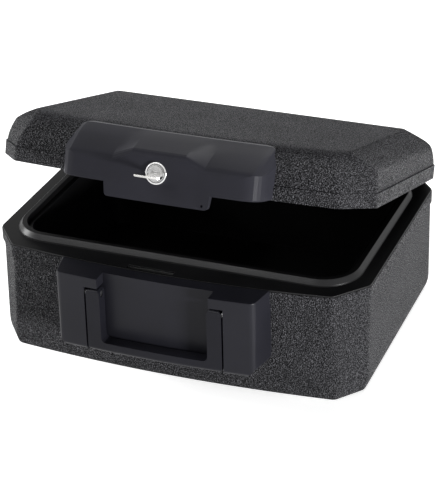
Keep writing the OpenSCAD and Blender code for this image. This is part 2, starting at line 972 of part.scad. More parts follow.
module lid_shell() {
    color("dimgray")
        lid_at_rest()
            difference() {
                lid_solid(0);
                lid_solid(shell_wall);
                cover_pegs(peg_r + fit);
                hinge_shanks(lid_screw_z, hinge_screw_r + fit);
                lock_pocket(lock_up - lock_body_r - over);
            }
}

pocket_top = 38.5;

// Room for the lock and its cam behind the cover, from one height above the lid edge.
module lock_pocket(low) {
    y_n = front_at(0, over);
    y_f = cam_y + cam_t + cam_head_h + air;
    translate([pocket_near_x, y_n, lid_z + low])
        cube([pocket_far_x - pocket_near_x, y_f - y_n, pocket_top - low]);
}

groove_top_gap = 1.4;
groove_h = ridge_h + groove_top_gap;
tray_in = 4;
tray_rear_in = 12;

// Body of the lid liner above its flange, grown by a gap.
module liner_block(t) {
    translate([0, 0, lid_z])
        linear_extrude(max(groove_h, lid_tray_depth) + liner_t + t)
            polygon(around_space(ridge_out + groove_gap + liner_t + t, 0));
}

// Shallow storage space in the lid.
module tray() {
    translate([0, 0, lid_z - over])
        linear_extrude(lid_tray_depth + over)
            polygon(round_rect(
                cavity_half - tray_in, cavity_y_f + tray_in, cavity_y_r - tray_rear_in, cavity_r
            ));
}

module lid_liner() {
    color("black")
        lid_at_rest()
            difference() {
                union() {
                    translate([0, 0, lid_z])
                        linear_extrude(liner_t)
                            polygon(lid_plan(0, shell_wall + air));
                    liner_block(0);
                }
                groove();
                tray();
                lock_pocket(-over);
            }
}

module lid_fill() {
    color("lightgray")
        lid_at_rest()
            difference() {
                lid_solid(shell_wall + air);
                translate([-body_w / 2, -body_d, lid_z - body_d])
                    cube([body_w, 2 * body_d, body_d + liner_t]);
                liner_block(air);
                cover_pegs(peg_r + air);
                hinge_shanks(lid_screw_z, hinge_screw_r + air);
                lock_pocket(-over);
            }
}

// Lock cover

cover_back_y = front_y + block_back;
cover_roof_drop = 1;
cover_roof_h = lid_h - cover_roof_drop;
cover_edge = 0.7;
cover_low_soft = 1.5;
cover_inner_soft = 0.3;
cover_corner_soft = 19;
cover_soft = 4;
cover_soft_steps = 3;
cover_rise = 41;
cover_rise_steps = 4;
cover_rise_power = 1.25;
cover_rear_more = 2;
cover_taper = 2.5;
cover_tip = cover_half - cover_taper;
lock_z = lid_z + lock_up;
lock_y = front_at(0, housing_out);

// Rounded ends of the cover: distance from the tip, then drop of the front and of the rear edge.
cover_ends = [[9, 0.8, 0.4], [5.5, 3, 1.8], [3, 4, 5.5], [1.2, 4, 9], [0, 4, 13]];

// Height of the cover along its front edge and along its rear edge, by distance from the middle.
function cover_front_h(x) =
    lookup(x, concat(
        [
            [cover_centre_half, cover_centre_h],
            [cover_step_half, cover_shoulder_h],
            [cover_shoulder_half, cover_shoulder_h]
        ],
        [for (end = cover_ends) [cover_tip - end[0], cover_shoulder_h - end[1]]]
    ));
function cover_rear_h(x) =
    lookup(x, concat(
        [[cover_shoulder_half + cover_rear_more, cover_roof_h]],
        [for (end = cover_ends) [cover_tip - end[0], cover_roof_h - end[2]]]
    ));

// Drop of the rounded edge behind the front face.
function cover_drop(d) =
    let (rest = max(0, cover_soft - max(d, 0)))
    cover_soft - sqrt(pow(cover_soft, 2) - pow(rest, 2));

// Point of the upper side, at one station across and one distance behind the front face.
function cover_point(x, d, t) =
    let (
        widen = 1 + (cover_half - cover_tip) / cover_tip * min(1, max(0, d) / housing_out),
        rest = 1 - min(1, max(0, d) / cover_rise),
        ends = [cover_front_h(abs(x)), cover_rear_h(abs(x))],
        up = ends[1] - (ends[1] - ends[0]) * pow(rest, cover_rise_power) - cover_drop(d)
    )
    [x * widen, front_at(x, housing_out) + d, up - t];

// Solid under the sloping upper side of the cover.
module cover_under(t) {
    side_x = concat(
        [cover_tip + over],
        [for (i = [len(cover_ends) - 1:-1:0]) cover_tip - cover_ends[i][0]],
        [
            cover_shoulder_half + cover_rear_more, (cover_shoulder_half + cover_step_half) / 2,
            cover_step_half, (cover_step_half + cover_centre_half) / 2,
            cover_centre_half, cover_centre_half / 2
        ]
    );
    depth = cover_back_y + block_back - lock_y;
    last = len(side_x) - 1;
    xs = concat([for (x = side_x) -x], [0], [for (i = [last:-1:0]) side_x[i]]);
    ds = concat(
        [-over],
        [for (i = [0:cover_soft_steps]) cover_soft * (1 - cos(90 * i / cover_soft_steps))],
        [for (i = [1:cover_rise_steps]) cover_soft + (cover_rise - cover_soft) * i / cover_rise_steps],
        [depth]
    );
    nx = len(xs);
    nd = len(ds);
    upper = [for (d = ds) for (x = xs) cover_point(x, d, t)];
    lower = [for (p = upper) [p[0], p[1], -cover_half]];
    m = nx * nd;
    cells = [
        for (j = [0:nd - 2])
            for (i = [0:nx - 2])
                let (a = j * nx + i, b = a + 1, c = b + nx, d = a + nx)
                each [[a, d, c], [a, c, b], [a + m, b + m, c + m], [a + m, c + m, d + m]]
    ];
    rim = concat(
        [for (i = [0:nx - 2]) [i, i + 1]],
        [for (j = [0:nd - 2]) [j * nx + nx - 1, (j + 1) * nx + nx - 1]],
        [for (i = [nx - 1:-1:1]) [m - nx + i, m - nx + i - 1]],
        [for (j = [nd - 1:-1:1]) [j * nx, (j - 1) * nx]]
    );
    sides = [for (e = rim) each [[e[0], e[1], e[1] + m], [e[0], e[1] + m, e[0] + m]]];
    translate([0, 0, lid_z])
        polyhedron(points = concat(upper, lower), faces = concat(cells, sides), convexity = 6);
}

module cover_block(t) {
    low = lid_z + cover_edge + t;
    low_soft = t > 0 ? cover_inner_soft : cover_low_soft;
    intersection() {
        front_stack(
            cover_half, t, cover_corner_soft,
            concat(edge_levels(low, low_soft, low_soft), [[lid_z + lid_h + over, 0]]),
            cover_taper
        );
        cover_under(t);
    }
}

tongue_back = 6.6;
tongue_end_in = 2;
tongue_soft = 3;
tongue_side = 5;
tongue_hole = [43.5, -8.4];
tongue_hole_r = 1.2;
tongue_hole_l = 2.5;

// Tongue that reaches down into the recess of the base.
module tongue() {
    low = lid_z - tongue_drop;
    high = lid_z + cover_edge + housing_wall;
    outline = soft_outline([
        [-tongue_half + tongue_end_in, low], [tongue_half - tongue_end_in, low], [tongue_half, high],
        [-tongue_half, high]
    ], tongue_soft);
    difference() {
        intersection() {
            front_slab(lock_y - over, front_y, outline);
            bowed_slab(housing_out, housing_out - tongue_back, tongue_half + over, low - over, high);
        }
        bowed_slab(
            housing_out - housing_wall, housing_out - tongue_back - over, tongue_half - tongue_side,
            low - 2 * over, lid_z + cover_edge
        );
    }
}

module lock_cover() {
    hole_y = front_at(tongue_hole[0], housing_out);
    color("darkslategray")
        lid_at_rest()
            difference() {
                union() {
                    difference() {
                        union() {
                            cover_block(0);
                            tongue();
                        }
                        cover_block(housing_wall);
                        lid_solid(-air);
                    }
                    cover_pegs(peg_r);
                    for (side = [-1, 1])
                        rod_y(
                            side * cover_peg_x, front_at(cover_peg_x, housing_out - housing_wall / 2),
                            front_at(cover_peg_x - peg_r - boss_wall, air), cover_peg_z, peg_r + boss_wall
                        );
                }
                rod_y(0, lock_y - over, washer_y, lock_z, lock_body_r + fit);
                rod_y(
                    tongue_hole[0], hole_y - over, hole_y + tongue_hole_l,
                    lid_z + tongue_hole[1], tongue_hole_r
                );
            }
}

// Lock

ring_t = 2.2;
plug_proud = 0.5;
washer_t = 1;
washer_w = 1.2;
washer_y = front_at(lock_body_r + washer_w, housing_out) + housing_wall + fit;
nut_t = 3;
nut_flats = 20;
cam_t = 2;
cam_foot_w = 4.5;
cam_hub_r = 6.5;
cam_rest = 150;
cam_foot_end = 57;
cam_foot_steps = 12;
lever_half = 4;
cam_screw_r = 1.5;
cam_head_r = 3.2;
cam_head_h = 1.6;
cam_screw_l = 6;

module lock_barrel() {
    back = cam_y - air;
    color("silver")
        lid_at_rest()
            difference() {
                union() {
                    rod_y(0, lock_y - ring_t, lock_y, lock_z, lock_ring_r);
                    rod_y(0, lock_y - eps, back, lock_z, lock_body_r);
                }
                rod_y(0, lock_y - ring_t - over, back + over, lock_z, plug_r + fit);
            }
}

module lock_washer() {
    color("silver")
        lid_at_rest()
            difference() {
                rod_y(0, washer_y, washer_y + washer_t, lock_z, lock_body_r + washer_w);
                rod_y(0, washer_y - over, washer_y + washer_t + over, lock_z, lock_body_r + fit);
            }
}

module lock_nut() {
    back = washer_y + washer_t + nut_t;
    color("silver")
        lid_at_rest()
            difference() {
                translate([0, back, lock_z])
                    rotate([90, 0, 0])
                        cylinder(h = nut_t, r = nut_flats / 2 / cos(30), $fn = 6);
                rod_y(0, washer_y, back + over, lock_z, lock_body_r + fit);
            }
}

key_slot_gap = 0.15;
blade_w = 7;
blade_l = 22;
key_face = lock_y - ring_t - plug_proud;

module lock_plug() {
    slot_h = key_t + 2 * key_slot_gap;
    color("gainsboro")
        lid_at_rest()
            difference() {
                rod_y(0, key_face, cam_y, lock_z, plug_r);
                translate([-blade_w / 2 - key_slot_gap, key_face - over, lock_z - slot_h / 2])
                    cube([blade_w + 2 * key_slot_gap, blade_l + over + key_slot_gap, slot_h]);
                rod_y(0, cam_y - cam_screw_l, cam_y + over, lock_z, cam_screw_r + fit);
            }
}

module lock_cam() {
    half_angle = asin(lever_half / cam_r);
    swing = cam_foot_end + half_angle;
    angles = [for (i = [0:cam_foot_steps]) swing * i / cam_foot_steps - half_angle];
    foot_r = cam_r - cam_foot_w;
    outer = [for (a = angles) cam_r * [cos(a), sin(a)]];
    inner = [for (i = [cam_foot_steps:-1:0]) foot_r * [cos(angles[i]), sin(angles[i])]];
    color("silver")
        lid_at_rest()
            difference() {
                translate([0, cam_y + cam_t, lock_z])
                    rotate([90, 0, 0])
                        rotate([0, 0, cam_rest])
                            union() {
                                cylinder(h = cam_t, r = cam_hub_r, $fn = 48);
                                translate([0, -lever_half, 0])
                                    cube([foot_r + cam_foot_w / 2, 2 * lever_half, cam_t]);
                                linear_extrude(cam_t)
                                    polygon(concat(outer, inner));
                            }
                rod_y(0, cam_y - over, cam_y + cam_t + over, lock_z, cam_screw_r + fit);
            }
}

module cam_screw() {
    head_y = cam_y + cam_t;
    color("gainsboro")
        lid_at_rest()
            difference() {
                union() {
                    rod_y(0, cam_y - cam_screw_l + over, head_y, lock_z, cam_screw_r);
                    rod_y(0, head_y, head_y + cam_head_h, lock_z, cam_head_r);
                }
                translate([-cross_l / 2, head_y + cam_head_h - cross_w, lock_z - cross_w / 2])
                    cube([cross_l, over, cross_w]);
            }
}

key_neck_w = 8;
key_neck_l = 11;
key_soft = 5;
key_hole_r = 2.4;

module key() {
    bow_near = key_face - key_neck_l;
    bow_far = bow_near - key_bow_l;
    half = key_bow_w / 2;
    corners = [[-half, bow_far], [half, bow_far], [half, bow_near], [-half, bow_near]];
    color("silver")
        lid_at_rest()
            translate([0, 0, lock_z - key_t / 2])
                difference() {
                    union() {
                        translate([-blade_w / 2, bow_near, 0])
                            cube([blade_w, key_neck_l + blade_l, key_t]);
                        translate([-key_neck_w / 2, bow_near - over, 0])
                            cube([key_neck_w, key_neck_l + over - air, key_t]);
                        linear_extrude(key_t)
                            polygon(soft_outline(corners, key_soft));
                    }
                    translate([0, bow_far + 2 * key_hole_r, -over])
                        cylinder(h = key_t + 2 * over, r = key_hole_r, $fn = 48);
                }
}

base_shell();
base_fill();
base_liner();
front_housing();
handle();
handle_pin_left();
handle_pin_right();
strike_plate();
strike_screws();
cam_box();
hinge_base_left();
hinge_base_right();
hinge_base_screws();
hinge_pin_left();
hinge_pin_right();
lid_shell();
lid_fill();
lid_liner();
hinge_lid_left();
hinge_lid_right();
hinge_lid_screws();
lock_cover();
lock_barrel();
lock_washer();
lock_nut();
lock_plug();
lock_cam();
cam_screw();
key();
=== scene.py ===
import json
import math

import bpy
from mathutils import Matrix, Vector

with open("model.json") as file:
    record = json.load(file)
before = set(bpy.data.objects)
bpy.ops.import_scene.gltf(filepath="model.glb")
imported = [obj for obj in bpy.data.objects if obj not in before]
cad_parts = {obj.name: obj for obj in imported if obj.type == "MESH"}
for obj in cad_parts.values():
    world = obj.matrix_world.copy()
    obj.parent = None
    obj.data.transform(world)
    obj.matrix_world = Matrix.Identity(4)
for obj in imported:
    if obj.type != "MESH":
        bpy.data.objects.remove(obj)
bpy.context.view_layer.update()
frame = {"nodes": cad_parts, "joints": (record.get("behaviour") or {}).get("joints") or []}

# Camera, fitted to the photograph, and the range in metres that it sees
CAMERA_PLACE = Vector((0.59757, -1.51667, 0.92894))
CAMERA_AZIMUTH = math.radians(21.58)
CAMERA_ELEVATION = math.radians(27.87)
CAMERA_ROLL = math.radians(-1.35)
CAMERA_LENS_MM = 138.39
SENSOR_WIDTH_MM = 36.0
NEAREST_SEEN = 0.05
FARTHEST_SEEN = 50.0

# Lamps: name, place, width and height in metres, and watts. All look at one point of the object
LAMP_AIM = Vector((0.0, 0.0, 0.1))
LAMPS = (
    ("right_softbox", (2.05, -1.1, 0.15), 0.5, 0.3, 78.0),
    ("left_softbox", (-2.35, -0.3, 0.9), 0.5, 0.6, 46.0),
    ("rear_softbox", (0.1, 1.5, 1.9), 1.4, 0.8, 28.0),
    ("high_softbox", (-0.78, -1.45, 1.75), 1.0, 0.5, 8.5),
    ("front_softbox", (0.3, -2.4, 0.4), 2.4, 0.4, 1.0),
)

# Light of the room on the object, and the colour that the background shows
ROOM_LIGHT = 0.08
WHITE = (1.0, 1.0, 1.0, 1.0)

# Floor: half its side in metres, its colour, and the light that it adds to look white to the camera.
# Near the object it adds FLOOR_LIFT, which grows to 1 from LIFT_NEAR to LIFT_FAR, in metres
FLOOR_HALF = 6.0
FLOOR_COLOUR = (0.8, 0.8, 0.8, 1.0)
FLOOR_LIFT = 0.75
LIFT_NEAR = 0.48
LIFT_FAR = 1.8

# Range in which a noise mostly lies
NOISE_LOW = 0.3
NOISE_MIDDLE = 0.5
NOISE_HIGH = 0.7

# Grain of the shells: how many cells or waves a metre holds, how softly the cells meet, and the depth
# of the bump in metres
PEBBLES_PER_M = 680.0
PEBBLE_SOFTNESS = 0.1
CRUMBS_PER_M = 950.0
PATCHES_PER_M = 16.0
PEBBLE_DEPTH = 0.0028

# Shade of the shells, from 0 for dark to 1 for pale: its level, its contrast of grain and painted glints,
# and the weight of the patches
SHELL_LEVEL = 0.4
SPECKLE_AND_PAINTED_GLINTS = 2.4
PATCH_SHARE = 0.06

# What the shells' shade gives: colour in sRGB levels from 0 to 255, whose pale end is partly painted
# glints, roughness and glint
SHELL_TONES_AND_PAINTED_GLINTS = ((0.0, (24, 24, 25)), (0.4, (48, 48, 50)), (1.0, (104, 104, 108)))
SHELL_ROUGHNESS = ((0.2, 0.55), (0.9, 0.3))
SHELL_GLINT = ((0.45, 0.02), (0.9, 0.2))

# How far a face looks up, where 1 is straight up: from ROOF_START to ROOF_FULL it turns into roof.
# The shells keep less of their glint, and the liners of their polish, the more a face looks up
ROOF_START = 0.93
ROOF_FULL = 0.985
SHELL_GLOSS = ((0.35, 1.0), (0.8, 0.15), (ROOF_FULL, 0.05))
LINER_POLISH = ((0.93, 0.22), (0.995, 0.05))

# How much calmer than its sides the lid's flat top is, and how much painted light makes a top without
# grain paler
LID_CALM_AND_LIGHT = 0.35
ROOF_PAINTED_LIGHT = 0.26

# Darkest tone of brushed metal, as a share of its colour
LINE_TONE = 0.82

# Greys of the lock's ring and plug at distances in mm from its axis. Their darkest greys are painted
# shade, in the ring's groove and the plug's keyhole
RING_TONES_AND_GROOVE_SHADE = ((7.7, 0.62), (8.0, 0.04), (8.4, 0.04), (8.7, 0.78))
PLUG_TONES_AND_KEYHOLE_SHADE = ((0.5, 0.06), (1.1, 0.5), (1.9, 0.6), (2.3, 0.44), (6.3, 0.52), (6.9, 0.4))

# The lock's nodes count in centimetres, because a ramp ends at 1
CM_PER_M = 100.0
MM_PER_CM = 10

# How far stains shift the lock's tones in centimetres, and its turned rings in radians to a centimetre
STAIN_SHIFT = 0.06
RING_WAVES = 130.0

# Width of the rounded edges in metres
SHELL_EDGE = 0.0006
HOUSING_EDGE = 0.0012
COVER_EDGE = 0.0006
HANDLE_EDGE = 0.0010
LINER_EDGE = 0.0005
HINGE_EDGE = 0.0003
RING_EDGE = 0.0004
METAL_EDGE = 0.0002
NO_EDGE = 0.0

# Points closer than WELD_GAP metres join, faces that turn less than FLAT_ANGLE become one,
# and edges that turn more than EDGE_ANGLE are rounded in a few steps
WELD_GAP = 0.000005
FLAT_ANGLE = math.radians(0.4)
EDGE_ANGLE = math.radians(30)
EDGE_STEPS = 3

# Edges that turn more than these angles look sharp. The small one keeps the low steps of the cover crisp
SOFT_ANGLE = math.radians(32)
CRISP_ANGLE = math.radians(11)

# Material and edge of every CAD node
FINISHES = (
    (("base_shell",), "base_shell", SHELL_EDGE),
    (("lid_shell",), "lid_shell", SHELL_EDGE),
    (("front_housing",), "housing", HOUSING_EDGE),
    (("lock_cover",), "cover", COVER_EDGE),
    (("handle",), "handle", HANDLE_EDGE),
    (("base_liner", "lid_liner", "cam_box"), "liner", LINER_EDGE),
    (("base_fill", "lid_fill"), "filling", NO_EDGE),
    (("hinge_base_left", "hinge_base_right", "hinge_lid_left", "hinge_lid_right"), "coating", HINGE_EDGE),
    (("handle_pin_left", "handle_pin_right", "hinge_pin_left", "hinge_pin_right"), "pin", METAL_EDGE),
    (("strike_screws", "hinge_base_screws", "hinge_lid_screws", "cam_screw"), "pin", METAL_EDGE),
    (("strike_plate",), "strike", METAL_EDGE),
    (("lock_cam", "lock_washer", "lock_nut"), "plate", METAL_EDGE),
    (("lock_barrel",), "ring", RING_EDGE),
    (("lock_plug",), "plug", METAL_EDGE),
    (("key",), "key", METAL_EDGE),
)

# The lock's place and axis, and the directions that are up on the base and on the tilted lid
JOINTS = {joint["name"]: joint for joint in frame["joints"]}
LOCK_PLACE = Vector(JOINTS["lock_turn"]["pos_m"])
LOCK_AXIS = Vector(JOINTS["lock_turn"]["axis"])
BASE_UP = Vector((0.0, 0.0, 1.0))
LID_UP = LOCK_AXIS.cross(Vector((1.0, 0.0, 0.0)))


def add_camera():
    """Camera at the photograph's angle."""
    back = Vector((
        math.sin(CAMERA_AZIMUTH) * math.cos(CAMERA_ELEVATION),
        -math.cos(CAMERA_AZIMUTH) * math.cos(CAMERA_ELEVATION),
        math.sin(CAMERA_ELEVATION),
    ))
    right = Vector((math.cos(CAMERA_AZIMUTH), math.sin(CAMERA_AZIMUTH), 0.0))
    up = back.cross(right)
    rolled_right = math.cos(CAMERA_ROLL) * right + math.sin(CAMERA_ROLL) * up
    rolled_up = back.cross(rolled_right)
    data = bpy.data.cameras.new("photo_camera")
    data.lens = CAMERA_LENS_MM
    data.sensor_width = SENSOR_WIDTH_MM
    data.clip_start = NEAREST_SEEN
    data.clip_end = FARTHEST_SEEN
    camera = bpy.data.objects.new("photo_camera", data)
    turn = Matrix((rolled_right, rolled_up, back)).transposed()
    camera.matrix_world = Matrix.Translation(CAMERA_PLACE) @ turn.to_4x4()
    bpy.context.scene.collection.objects.link(camera)
    bpy.context.scene.camera = camera


def add_softbox(name, place, width, height, watts):
    """Rectangular lamp that looks at the object."""
    data = bpy.data.lights.new(name, "AREA")
    data.shape = "RECTANGLE"
    data.size = width
    data.size_y = height
    data.energy = watts
    lamp = bpy.data.objects.new(name, data)
    lamp.location = place
    lamp.rotation_euler = (LAMP_AIM - Vector(place)).to_track_quat("-Z", "Y").to_euler()
    bpy.context.scene.collection.objects.link(lamp)


class Nodes:
    """Short calls that add and link the nodes of one tree."""

    def __init__(self, tree):
        self.tree = tree
        tree.nodes.clear()

    def add(self, kind, values=None, **settings):
        """New node with its settings, and with values or links for its sockets."""
        node = self.tree.nodes.new(kind)
        for key, value in settings.items():
            setattr(node, key, value)
        for socket, value in (values or {}).items():
            self.put(node.inputs[socket], value)
        return node

    def put(self, socket, value):
        """Links another node's output to a socket, or sets the socket's own value."""
        if isinstance(value, bpy.types.NodeSocket):
            self.tree.links.new(value, socket)
        else:
            socket.default_value = value

    def math(self, operation, first, second=0.0, clamp=False):
        """Number from one or two numbers."""
        node = self.add("ShaderNodeMath", operation=operation, use_clamp=clamp)
        self.put(node.inputs[0], first)
        self.put(node.inputs[1], second)
        return node.outputs[0]

    def vector(self, operation, first, second):
        """Vector from two vectors."""
        node = self.add("ShaderNodeVectorMath", operation=operation)
        self.put(node.inputs[0], first)
        self.put(node.inputs[1], second)
        return node.outputs["Vector"]

    def length(self, vector):
        node = self.add("ShaderNodeVectorMath", operation="LENGTH")
        self.put(node.inputs[0], vector)
        return node.outputs["Value"]

    def ramp(self, value, stops):
        """Values between stops, each a place and a grey or colour."""
        node = self.add("ShaderNodeValToRGB", {"Fac": value})
        elements = node.color_ramp.elements
        while len(elements) < len(stops):
            elements.new(1.0)
        for element, (place, colour) in zip(elements, stops):
            element.position = place
            grey = isinstance(colour, (int, float))
            element.color = (colour, colour, colour, 1.0) if grey else (*colour, 1.0)
        return node.outputs["Color"]

    def over_noise(self, noise, low, high):
        """Values from low to high over the range in which a noise mostly lies."""
        return self.ramp(noise, ((NOISE_LOW, low), (NOISE_HIGH, high)))

    def noise(self, place, scale, detail=3.0, roughness=0.55):
        values = {"Vector": place, "Scale": scale, "Detail": detail, "Roughness": roughness}
        return self.add("ShaderNodeTexNoise", values).outputs["Fac"]

    def cells(self, place, scale, smooth):
        values = {"Vector": place, "Scale": scale, "Smoothness": smooth}
        return self.add("ShaderNodeTexVoronoi", values, feature="SMOOTH_F1").outputs["Distance"]

    def bump(self, height, depth, strength):
        values = {"Height": height, "Distance": depth, "Strength": strength}
        return self.add("ShaderNodeBump", values).outputs["Normal"]

    def place(self):
        """Place on the object at rest, in metres."""
        return self.add("ShaderNodeTexCoord").outputs["Object"]

    def facing(self, direction):
        """How far the surface at rest looks in a direction, from -1 to 1."""
        node = self.add("ShaderNodeVectorMath", operation="DOT_PRODUCT")
        self.put(node.inputs[0], self.add("ShaderNodeTexCoord").outputs["Normal"])
        self.put(node.inputs[1], direction)
        return node.outputs["Value"]


def new_material(name):
    """Material, and the calls that fill its empty node tree."""
    material = bpy.data.materials.new(name)
    material.use_nodes = True
    return material, Nodes(material.node_tree)


def finish_material(nodes, values):
    """Principled surface with the given sockets."""
    surface = nodes.add("ShaderNodeBsdfPrincipled", values)
    nodes.add("ShaderNodeOutputMaterial", {"Surface": surface.outputs[0]})


def linear(level):
    """Linear value of an sRGB level from 0 to 255, by the curve of the sRGB standard."""
    value = level / 255
    return value / 12.92 if value <= 0.04045 else ((value + 0.055) / 1.055) ** 2.4


def rgb(red, green, blue):
    """Linear colour from the sRGB levels that a picture shows."""
    return (linear(red), linear(green), linear(blue))


def pebbled_plastic(name, up, roof_calm_and_light):
    """Charcoal shell with a coarse pebbled grain, calmer where it looks up and painted paler there as
    light, with pale speckles that are partly grain and partly painted glints.
    """
    material, nodes = new_material(name)
    place = nodes.place()
    facing = nodes.facing(up)
    coarse_share = nodes.ramp(facing, ((ROOF_START, 1.0), (ROOF_FULL, 1.0 - roof_calm_and_light)))
    # Painted light: faces of the shell that look up are painted paler, as if more light fell on them
    painted_roof_level = SHELL_LEVEL + ROOF_PAINTED_LIGHT * roof_calm_and_light
    level = nodes.ramp(facing, ((ROOF_START, SHELL_LEVEL), (ROOF_FULL, painted_roof_level)))
    pebbles = nodes.math("SUBTRACT", 1.0, nodes.cells(place, PEBBLES_PER_M, PEBBLE_SOFTNESS))
    crumbs = nodes.noise(place, CRUMBS_PER_M, detail=1.5, roughness=0.6)
    patches = nodes.noise(place, PATCHES_PER_M)
    height = nodes.math("ADD", nodes.math("MULTIPLY", pebbles, coarse_share), crumbs)
    grain = nodes.math("MULTIPLY", nodes.math("SUBTRACT", crumbs, NOISE_MIDDLE), coarse_share)
    tone = nodes.math("ADD", grain, nodes.math("MULTIPLY", patches, PATCH_SHARE))
    # The speckle paints pale spots that are partly the grain's own tone and partly painted glints
    shade = nodes.math("ADD", nodes.math("MULTIPLY", tone, SPECKLE_AND_PAINTED_GLINTS), level, clamp=True)
    glint = nodes.ramp(shade, SHELL_GLINT)
    finish_material(nodes, {
        "Base Color": nodes.ramp(shade, [(stop, rgb(*levels)) for stop, levels in SHELL_TONES_AND_PAINTED_GLINTS]),
        "Roughness": nodes.ramp(shade, SHELL_ROUGHNESS),
        "Specular IOR Level": nodes.math("MULTIPLY", glint, nodes.ramp(facing, SHELL_GLOSS)),
        "Normal": nodes.bump(height, PEBBLE_DEPTH, strength=1.0),
    })
    return material


def smooth_moulding(name, dark, light, gloss):
    """Blue-grey satin moulding with a very fine spark-eroded grain."""
    material, nodes = new_material(name)
    place = nodes.place()
    grain = nodes.noise(place, scale=2600.0, detail=2.0)
    flow = nodes.noise(place, scale=22.0, detail=4.0)
    finish_material(nodes, {
        "Base Color": nodes.over_noise(flow, dark, light),
        "Roughness": nodes.over_noise(flow, low=0.34, high=0.42),
        "Specular IOR Level": gloss,
        "Normal": nodes.bump(grain, depth=0.00004, strength=0.5),
    })
    return material


def liner_plastic():
    """Black inner moulding, less polished where it looks up."""
    material, nodes = new_material("liner_plastic")
    place = nodes.place()
    grain = nodes.noise(place, scale=1800.0, detail=2.0)
    flow = nodes.noise(place, scale=15.0)
    finish_material(nodes, {
        "Base Color": nodes.over_noise(flow, low=rgb(18, 18, 19), high=rgb(24, 24, 25)),
        "Roughness": nodes.over_noise(flow, low=0.32, high=0.40),
        "Specular IOR Level": nodes.ramp(nodes.facing(BASE_UP), LINER_POLISH),
        "Normal": nodes.bump(grain, depth=0.00005, strength=0.5),
    })
    return material


def insulation():
    """Cast cement-like filling."""
    material, nodes = new_material("insulation")
    place = nodes.place()
    pores = nodes.cells(place, scale=300.0, smooth=0.2)
    patches = nodes.noise(place, scale=40.0, detail=4.0)
    finish_material(nodes, {
        "Base Color": nodes.over_noise(patches, low=rgb(178, 172, 162), high=rgb(202, 197, 188)),
        "Roughness": 0.9,
        "Normal": nodes.bump(pores, depth=0.0008, strength=0.6),
    })
    return material


def painted_metal():
    """Black powder coat of the hinge leaves."""
    material, nodes = new_material("hinge_coating")
    place = nodes.place()
    orange_peel = nodes.noise(place, scale=900.0, detail=2.0)
    patches = nodes.noise(place, scale=60.0)
    finish_material(nodes, {
        "Base Color": nodes.over_noise(patches, low=rgb(36, 36, 38), high=rgb(44, 44, 46)),
        "Roughness": nodes.over_noise(patches, low=0.38, high=0.5),
        "Normal": nodes.bump(orange_peel, depth=0.0001, strength=0.6),
    })
    return material


def brushed_metal(name, colour, stretch, roughness):
    """Metal with fine lines along the axis that stretch leaves small."""
    material, nodes = new_material(name)
    mapping = nodes.add("ShaderNodeMapping", {"Vector": nodes.place(), "Scale": stretch})
    lines = nodes.noise(mapping.outputs[0], scale=1.0, detail=4.0, roughness=0.7)
    tint = [value * LINE_TONE for value in colour]
    smoothest, roughest = roughness
    finish_material(nodes, {
        "Base Color": nodes.over_noise(lines, tint, colour),
        "Metallic": 1.0,
        "Roughness": nodes.over_noise(lines, smoothest, roughest),
        "Normal": nodes.bump(lines, depth=0.00002, strength=0.5),
    })
    return material


def turned_metal(name, tones_and_shade, roughness):
    """Metal of the lock, with tones and painted shade by the distance in mm from its axis, and fine turned
    rings.
    """
    material, nodes = new_material(name)
    from_lock = nodes.vector("SUBTRACT", nodes.place(), LOCK_PLACE)
    from_axis = nodes.length(nodes.vector("CROSS_PRODUCT", from_lock, LOCK_AXIS))
    radius = nodes.math("MULTIPLY", from_axis, CM_PER_M)
    spots = nodes.math("SUBTRACT", nodes.noise(nodes.place(), scale=700.0), NOISE_MIDDLE)
    stained = nodes.math("ADD", radius, nodes.math("MULTIPLY", spots, STAIN_SHIFT))
    rings = nodes.math("SINE", nodes.math("MULTIPLY", radius, RING_WAVES))
    smoothest, roughest = roughness
    finish_material(nodes, {
        # Painted shade: the darkest stops darken the ring's groove and the plug's keyhole
        "Base Color": nodes.ramp(stained, [(distance / MM_PER_CM, grey) for distance, grey in tones_and_shade]),
        "Metallic": 1.0,
        "Roughness": nodes.ramp(rings, ((0.0, smoothest), (1.0, roughest))),
        "Normal": nodes.bump(rings, depth=0.00002, strength=0.4),
    })
    return material


def make_materials():
    """Materials, by the names that FINISHES gives them."""
    return {
        "base_shell": pebbled_plastic("base_shell", BASE_UP, roof_calm_and_light=0.0),
        "lid_shell": pebbled_plastic("lid_shell", LID_UP, roof_calm_and_light=LID_CALM_AND_LIGHT),
        "housing": smooth_moulding(
            "housing_plastic",
            dark=rgb(25, 25, 30),
            light=rgb(29, 29, 35),
            gloss=0.17,
        ),
        "cover": smooth_moulding(
            "cover_plastic",
            dark=rgb(39, 39, 44),
            light=rgb(43, 43, 49),
            gloss=0.05,
        ),
        "handle": smooth_moulding(
            "handle_plastic",
            dark=rgb(21, 21, 26),
            light=rgb(25, 25, 31),
            gloss=0.14,
        ),
        "liner": liner_plastic(),
        "filling": insulation(),
        "coating": painted_metal(),
        "pin": brushed_metal(
            "pin_steel",
            colour=(0.55, 0.55, 0.56),
            stretch=(40.0, 900.0, 900.0),
            roughness=(0.25, 0.4),
        ),
        "plate": brushed_metal(
            "plate_steel",
            colour=(0.62, 0.61, 0.58),
            stretch=(60.0, 600.0, 600.0),
            roughness=(0.3, 0.45),
        ),
        "strike": brushed_metal(
            "strike_steel",
            colour=(0.16, 0.16, 0.16),
            stretch=(60.0, 600.0, 600.0),
            roughness=(0.4, 0.55),
        ),
        "key": brushed_metal(
            "key_metal",
            colour=(0.78, 0.77, 0.75),
            stretch=(900.0, 60.0, 900.0),
            roughness=(0.08, 0.16),
        ),
        "ring": turned_metal("lock_ring", RING_TONES_AND_GROOVE_SHADE, roughness=(0.16, 0.24)),
        "plug": turned_metal("lock_plug", PLUG_TONES_AND_KEYHOLE_SHADE, roughness=(0.24, 0.32)),
    }


